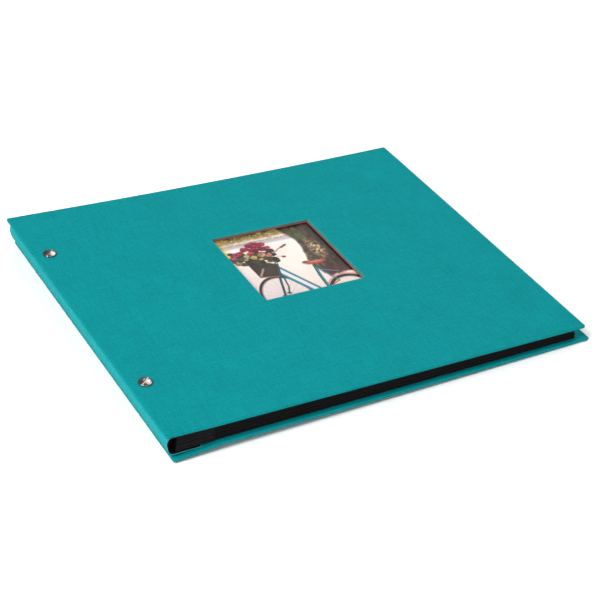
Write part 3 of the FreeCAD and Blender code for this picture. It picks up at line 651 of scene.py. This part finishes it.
    # flowers: leaves first, then blooms with lighter petals
    R = np.random.RandomState(5)
    for k in range(60):
        a = R.rand(); cx = .05 + .39 * a; cy = .700 - .13 * a + R.randn() * .055
        blob(cx, cy, .026 + .014 * R.rand(), .018 + .012 * R.rand(), [(50, 56, 28), (78, 80, 40), (34, 36, 24), (104, 92, 52)][k % 4], .3, k, .010)
    for cx, cy, s, c, h in ((.10, .735, .042, (166, 36, 84), (232, 92, 130)), (.06, .700, .030, (196, 88, 110), (240, 160, 170)),
                            (.065, .600, .026, (176, 120, 62), (226, 190, 120)), (.04, .640, .022, (120, 52, 44), (190, 100, 80)),
                            (.150, .745, .026, (196, 40, 72), (236, 96, 110)), (.225, .790, .040, (168, 26, 74), (226, 74, 116)),
                            (.285, .835, .036, (150, 18, 66), (216, 60, 104)), (.300, .760, .048, (138, 16, 60), (206, 52, 96)),
                            (.355, .815, .044, (176, 22, 84), (236, 70, 130)), (.410, .815, .034, (190, 34, 78), (240, 104, 128)),
                            (.385, .755, .038, (128, 16, 56), (196, 52, 96)), (.440, .705, .036, (84, 28, 48), (150, 62, 84)),
                            (.445, .760, .022, (206, 44, 84), (244, 120, 140)), (.250, .715, .034, (198, 60, 84), (246, 140, 140)),
                            (.335, .665, .040, (236, 158, 132), (255, 214, 190)), (.395, .640, .032, (232, 142, 130), (255, 208, 196)),
                            (.245, .650, .032, (226, 196, 130), (250, 232, 176)), (.190, .690, .028, (232, 210, 150), (252, 240, 196)),
                            (.165, .640, .020, (206, 180, 96), (246, 228, 150)), (.300, .610, .018, (240, 214, 150), (252, 238, 196)),
                            (.512, .575, .017, (190, 30, 56), (230, 80, 90)), (.335, .870, .016, (190, 32, 70), (236, 90, 120))):
        s *= 1.08; c = tuple(v * .82 for v in c); h = tuple(v * .88 for v in h)
        blob(cx, cy, s, s * .85, c, .34, int(cx * 900), .012)
        for j in range(4):
            a = R.rand() * 6.283
            blob(cx + s * .42 * math.cos(a), cy + s * .36 * math.sin(a), s * .30, s * .22, h, .3, j + int(cy * 900), .010)
        blob(cx + s * .05, cy - s * .05, s * .16, s * .12, tuple(int(v * .55) for v in c), .2, 7, .010)
    tube([(.455, .60), (.500, .585)], .002, (96, 96, 60))
    img *= (0.985 + 0.03 * value_noise(U * 120, V * 120, 20, 1))[..., None]
    return np.clip(img, 0, 1)


CX0, CX1, CY0, CY1 = 122.4 - 45.5, 122.4 + 45.5, 14.8 - 46, 14.8 + 46
cxs, cys = lines(CX0, CX1, 0.36), lines(CY0, CY1, 0.36)
print_card = slab("picture_print", front, cxs, cys, 2.36, 2.59)
at = print_card.data.attributes["cloth_uv"]
uvw = np.zeros(len(print_card.data.vertices) * 3, np.float32)
at.data.foreach_get("vector", uvw)
uvw = uvw.reshape(-1, 3)
U = (uvw[:, 0] - WX0) / (WX1 - WX0); V = (uvw[:, 1] - WY0) / (WY1 - WY0)
rgb = paint(U[None, :].astype(float), V[None, :].astype(float))[0]
rgb = np.where(rgb <= 0.04045, rgb / 12.92, ((rgb + 0.055) / 1.055) ** 2.4) ** 1.28 * 0.70
ca = print_card.data.attributes.new("print", "FLOAT_COLOR", "POINT")
ca.data.foreach_set("color", np.concatenate([rgb, np.ones((len(rgb), 1))], 1).astype(np.float32).ravel())
n = Nodes("picture_print")
pa = n.new("ShaderNodeAttribute", attribute_name="print")
tc = n.new("ShaderNodeTexCoord")
gr = n.noise(tc.outputs["Object"], 1800.0, 4, 0.6)
gl = n.noise(tc.outputs["Object"], 60.0, 3, 0.5)
n.link(n.mix(1.0, pa.outputs["Color"], n.ramp(gr, [(0.3, (0.93, 0.93, 0.93, 1)), (0.7, (1.0, 1.0, 1.0, 1))]), "MULTIPLY"), n.b.inputs["Base Color"])
n.link(n.ramp(gl, [(0.3, (0.36, 0.36, 0.36, 1)), (0.7, (0.5, 0.5, 0.5, 1))]), n.b.inputs["Roughness"])
n.b.inputs["Specular IOR Level"].default_value = 0.16
n.link(n.bump(gr, 0.1, 0.00003), n.b.inputs["Normal"])
dress(print_card, n.m)
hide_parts("picture_insert")
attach(print_card, "picture")


# ------------------------------------------------------------- spine: cloth and black lining, bent to a U
def rounded_u(points, radii, off, steps=9):
    """The fold line of the spine, moved in by off, as points."""
    dirs = []
    for a, b in zip(points[:-1], points[1:]):
        l = math.hypot(b[0] - a[0], b[1] - a[1])
        dirs.append(((b[0] - a[0]) / l, (b[1] - a[1]) / l))
    sh = [((p[0] - d[1] * off, p[1] + d[0] * off), d) for p, d in zip(points[:-1], dirs)]
    cor = [sh[0][0]]
    for i in range(len(sh) - 1):
        (p, d), (q, e) = sh[i], sh[i + 1]
        den = d[0] * e[1] - d[1] * e[0]
        k = ((q[0] - p[0]) * e[1] - (q[1] - p[1]) * e[0]) / den
        cor.append((p[0] + d[0] * k, p[1] + d[1] * k))
    d = dirs[-1]
    cor.append((points[-1][0] - d[1] * off, points[-1][1] + d[0] * off))
    out = []

    def seg(a, b, step=1.6):
        n_ = max(1, int(math.hypot(b[0] - a[0], b[1] - a[1]) / step))
        return [(a[0] + (b[0] - a[0]) * k / n_, a[1] + (b[1] - a[1]) * k / n_) for k in range(n_)]
    start = cor[0]
    for i in range(1, len(cor) - 1):
        a, b = dirs[i - 1], dirs[i]
        turn = math.acos(max(-1, min(1, a[0] * b[0] + a[1] * b[1])))
        r = radii[i - 1] - off
        t = r * math.tan(turn / 2)
        p0 = (cor[i][0] - a[0] * t, cor[i][1] - a[1] * t)
        out += seg(start, p0)
        c = (p0[0] - a[1] * r, p0[1] + a[0] * r)
        for k in range(steps):
            ang = turn * k / steps
            ca_, sa_ = math.cos(ang), math.sin(ang)
            v = (p0[0] - c[0], p0[1] - c[1])
            out.append((c[0] + v[0] * ca_ - v[1] * sa_, c[1] + v[0] * sa_ + v[1] * ca_))
        start = (cor[i][0] + b[0] * t, cor[i][1] + b[1] * t)
    out += seg(start, cor[-1]) + [cor[-1]]
    return out


CX = 152.468386


def z_under_front(x):
    return 22.1 - 2.3 / math.cos(FST) - x * math.tan(FST)


def z_over_back(x):
    return 0.95 + 2.3 / math.cos(BST) + (x - 5) * math.tan(-BST)


def spine(name, thick, gap, flap_top, flap_low, back_top, back_low, radii, length, wob, seed):
    pts = [(flap_top, z_under_front(flap_top) - gap), (back_top, z_under_front(back_top) - gap),
           (back_low, z_over_back(back_low) + gap + 2.0 * (24.5 - back_low) / 21.3), (flap_low, z_over_back(flap_low) + gap + 2.0 * (24.5 - flap_low) / 21.3)]
    A = rounded_u(pts, radii, 0.0)
    B = rounded_u(pts, radii, thick)
    n_ = min(len(A), len(B))
    if len(A) != len(B):
        def even(L, n_):
            d = np.concatenate([[0], np.cumsum([math.hypot(L[k + 1][0] - L[k][0], L[k + 1][1] - L[k][1]) for k in range(len(L) - 1)])])
            q = np.linspace(0, d[-1], n_)
            return list(zip(np.interp(q, d, [p[0] for p in L]), np.interp(q, d, [p[1] for p in L])))
        n_ = max(len(A), len(B)); A, B = even(A, n_), even(B, n_)
    run = np.concatenate([[0], np.cumsum([math.hypot(A[k + 1][0] - A[k][0], A[k + 1][1] - A[k][1]) for k in range(n_ - 1)])])
    ring = A + B[::-1]
    rr = list(run) + list(run[::-1])
    ys_ = [-length / 2, -length / 2 + 0.15] + list(np.linspace(-length / 2 + 2, length / 2 - 2, 82)) + [length / 2 - 0.15, length / 2]
    verts, uvs, faces = [], [], []
    for k, y in enumerate(ys_):
        shrink = 0.05 if k in (0, len(ys_) - 1) else 0.0
        for m_, (x, z) in enumerate(ring):
            back_ness = smooth((10.0 - x) / 8.0)
            w = wob * back_ness * (math.sin(y * 0.043 + seed) * 0.6 + math.sin(y * 0.17 + 2 * seed) * 0.25 + math.sin(y * 0.41 + z * .3) * 0.15)
            verts.append((x - CX + w, y, z))
            uvs.append((y, rr[m_]))
    R_ = len(ring)
    for k in range(len(ys_) - 1):
        for m_ in range(R_):
            q = (m_ + 1) % R_
            faces.append((k * R_ + m_, k * R_ + q, (k + 1) * R_ + q, (k + 1) * R_ + m_))
    for k in (0, len(ys_) - 1):
        for m_ in range(n_ - 1):
            faces.append((k * R_ + m_, k * R_ + m_ + 1, k * R_ + R_ - 2 - m_, k * R_ + R_ - 1 - m_))
    return new_object(name, verts, faces, uvs, smooth_angle=50)


ob = spine("spine_cloth_u", 0.3, 0.05, 24.0, 24.5, -0.3, 3.2, [5.5, 4.5], 246.0, 0.12, 0.7)
# the spine cloth gets the lighter, painted-lit copy of the cover linen
dress(ob, M_spine_painted_lit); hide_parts("spine_cloth"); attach(ob, "binding")
ob = spine("spine_lining_u", 0.2, 0.37, 23.0, 23.5, 0.12, 3.47, [5.18, 4.18], 245.0, 0.12, 0.7)
dress(ob, M_lining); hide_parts("spine_lining"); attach(ob, "binding")


# ------------------------------------------------------------- leaves: one folded sheet of card each
def leaf(i):
    f = i / 19.0
    zh = 17.6 - 0.575 * i
    shift = (f - 0.5) * 1.6
    xf = 294.6 + shift
    tilt = math.asin((zh - (10.35 - 0.39 * i)) / (xf - 33))
    stub_tilt = FST * (1 - f)
    ox, oy = FH[0], 0.15 * math.sin(2.4 * i)
    end = 261.6 + shift + rng.uniform(-0.55, 0.0)
    y0, y1 = -122.5 + rng.uniform(0, 0.5), 122.5 - rng.uniform(0, 0.5)
    skew = rng.uniform(-0.3, 0.3)
    ph = rng.uniform(0, 6.28)
    rear = rng.uniform(0.0, 0.6)

    def place(x, y, z):
        k = smooth((x + 2.5) / 5.0)
        t = stub_tilt + (tilt - stub_tilt) * k
        w = sag(x, y) * (1 - f) + 0.022 * math.sin(x * 0.03 + ph) * math.sin(y * 0.035 + ph) * smooth(x / 40)
        return (ox + x * math.cos(t) + z * math.sin(t), oy + y, zh - x * math.sin(t) + z * math.cos(t) - w)
    th = 0.28
    xs_ = [-6, -4.5, -3, -2, -1.2] + list(np.arange(-0.4, 8, 0.7)) + [9, 11, 14, 18] + list(np.linspace(24, end, 22))
    prof = [(x, 0.0) for x in [-25.2, -20, -14, -9] + xs_]
    prof.append((end + 0.02, -th / 2))
    prof += [(x, -th) for x in reversed(xs_) if x > -0.2]
    prof += [(-0.55, -th - 0.02), (-0.5, -2 * th)]
    prof += [(-6, -2 * th), (-14, -2 * th), (-25.2, -2 * th)]
    prof += [(-25.42, -1.6 * th), (-25.48, -th), (-25.42, -0.4 * th)]
    ys_ = list(np.linspace(y0, y1, 23))
    verts, uvs, faces = [], [], []
    for y in ys_:
        for x, z in prof:
            s = skew * (y / 125.0) * smooth((x - 200) / 60)
            verts.append(place(x + s + (rear if x < -24 else 0), y, z))
            uvs.append((x, y))
    n_ = len(prof)
    for k in range(len(ys_) - 1):
        for m_ in range(n_):
            q = (m_ + 1) % n_
            faces.append((k * n_ + m_, k * n_ + q, (k + 1) * n_ + q, (k + 1) * n_ + m_))
    # ends: the two rails are stitched together
    for k in (0, len(ys_) - 1):
        faces.append(tuple(k * n_ + m_ for m_ in range(n_)))
    ob = new_object("page_sheet_%02d" % (i + 1), verts, faces, uvs, smooth_angle=45)
    return ob


for i in range(20):
    ob = leaf(i)
    dress(ob, M_card)
    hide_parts("leaf_%02d" % (i + 1), *(["page_stubs"] if i == 0 else []))
    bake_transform(ob)

# ------------------------------------------------------------- metal
for nm, m, s in (("screw_front", M_nickel, "chrome_screw"), ("screw_rear", M_nickel, "chrome_screw"), ("post_front", M_post, "steel_post"), ("post_rear", M_post, "steel_post")):
    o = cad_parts[nm]
    o.data.materials.clear(); o.data.materials.append(m)

# ------------------------------------------------------------- stage, light, camera
sc = bpy.context.scene
sc.view_settings.view_transform = "Standard"
sc.view_settings.look = "None"
bpy.ops.mesh.primitive_plane_add(size=8, location=(0, 0, -0.0002))
floor = bpy.context.object
floor.name = "floor"
n = Nodes("floor")
n.b.inputs["Base Color"].default_value = (0.90, 0.90, 0.90, 1)
n.b.inputs["Roughness"].default_value = 0.9
n.b.inputs["Specular IOR Level"].default_value = 0.1
floor.data.materials.append(n.m)

w = bpy.data.worlds.new("studio")
sc.world = w
w.use_nodes = True
w.node_tree.nodes["Background"].inputs["Color"].default_value = (1, 1, 1, 1)
w.node_tree.nodes["Background"].inputs["Strength"].default_value = 0.25


def area(name, loc, target, size, power, color=(1, 1, 1)):
    l = bpy.data.lights.new(name, "AREA")
    l.shape = "RECTANGLE"; l.size, l.size_y = size
    l.energy = power; l.color = color
    o = bpy.data.objects.new(name, l)
    o.location = loc
    o.rotation_mode = "QUATERNION"
    o.rotation_quaternion = (Vector(target) - Vector(loc)).to_track_quat("-Z", "Y")
    sc.collection.objects.link(o)
    return o


area("key", (-1.5, -0.35, 1.45), (0, 0, 0), (0.8, 1.2), 53)
area("front", (-0.35, -1.7, 0.40), (0, -0.1, 0), (1.4, 0.5), 13)
area("fill", (0.9, 0.6, 1.6), (0, 0, 0), (1.2, 1.2), 16)
area("back", (0.9, 1.3, 1.2), (0.05, 0, 0), (1.0, 0.8), 9)

cam = bpy.data.cameras.new("camera")
cam.sensor_width = 36.0
cam.lens = 97.79215892
cam.clip_start, cam.clip_end = 0.05, 20
co = bpy.data.objects.new("camera", cam)
R = ((0.87071388, -0.48635314, 0.07292442), (-0.22667076, -0.52847774, -0.81812691), (0.43643752, 0.69582462, -0.57039494))
co.matrix_world = Matrix(((R[0][0], -R[1][0], -R[2][0], -0.47077), (R[0][1], -R[1][1], -R[2][1], -0.7609), (R[0][2], -R[1][2], -R[2][2], 0.615512), (0, 0, 0, 1)))
sc.collection.objects.link(co)
sc.camera = co
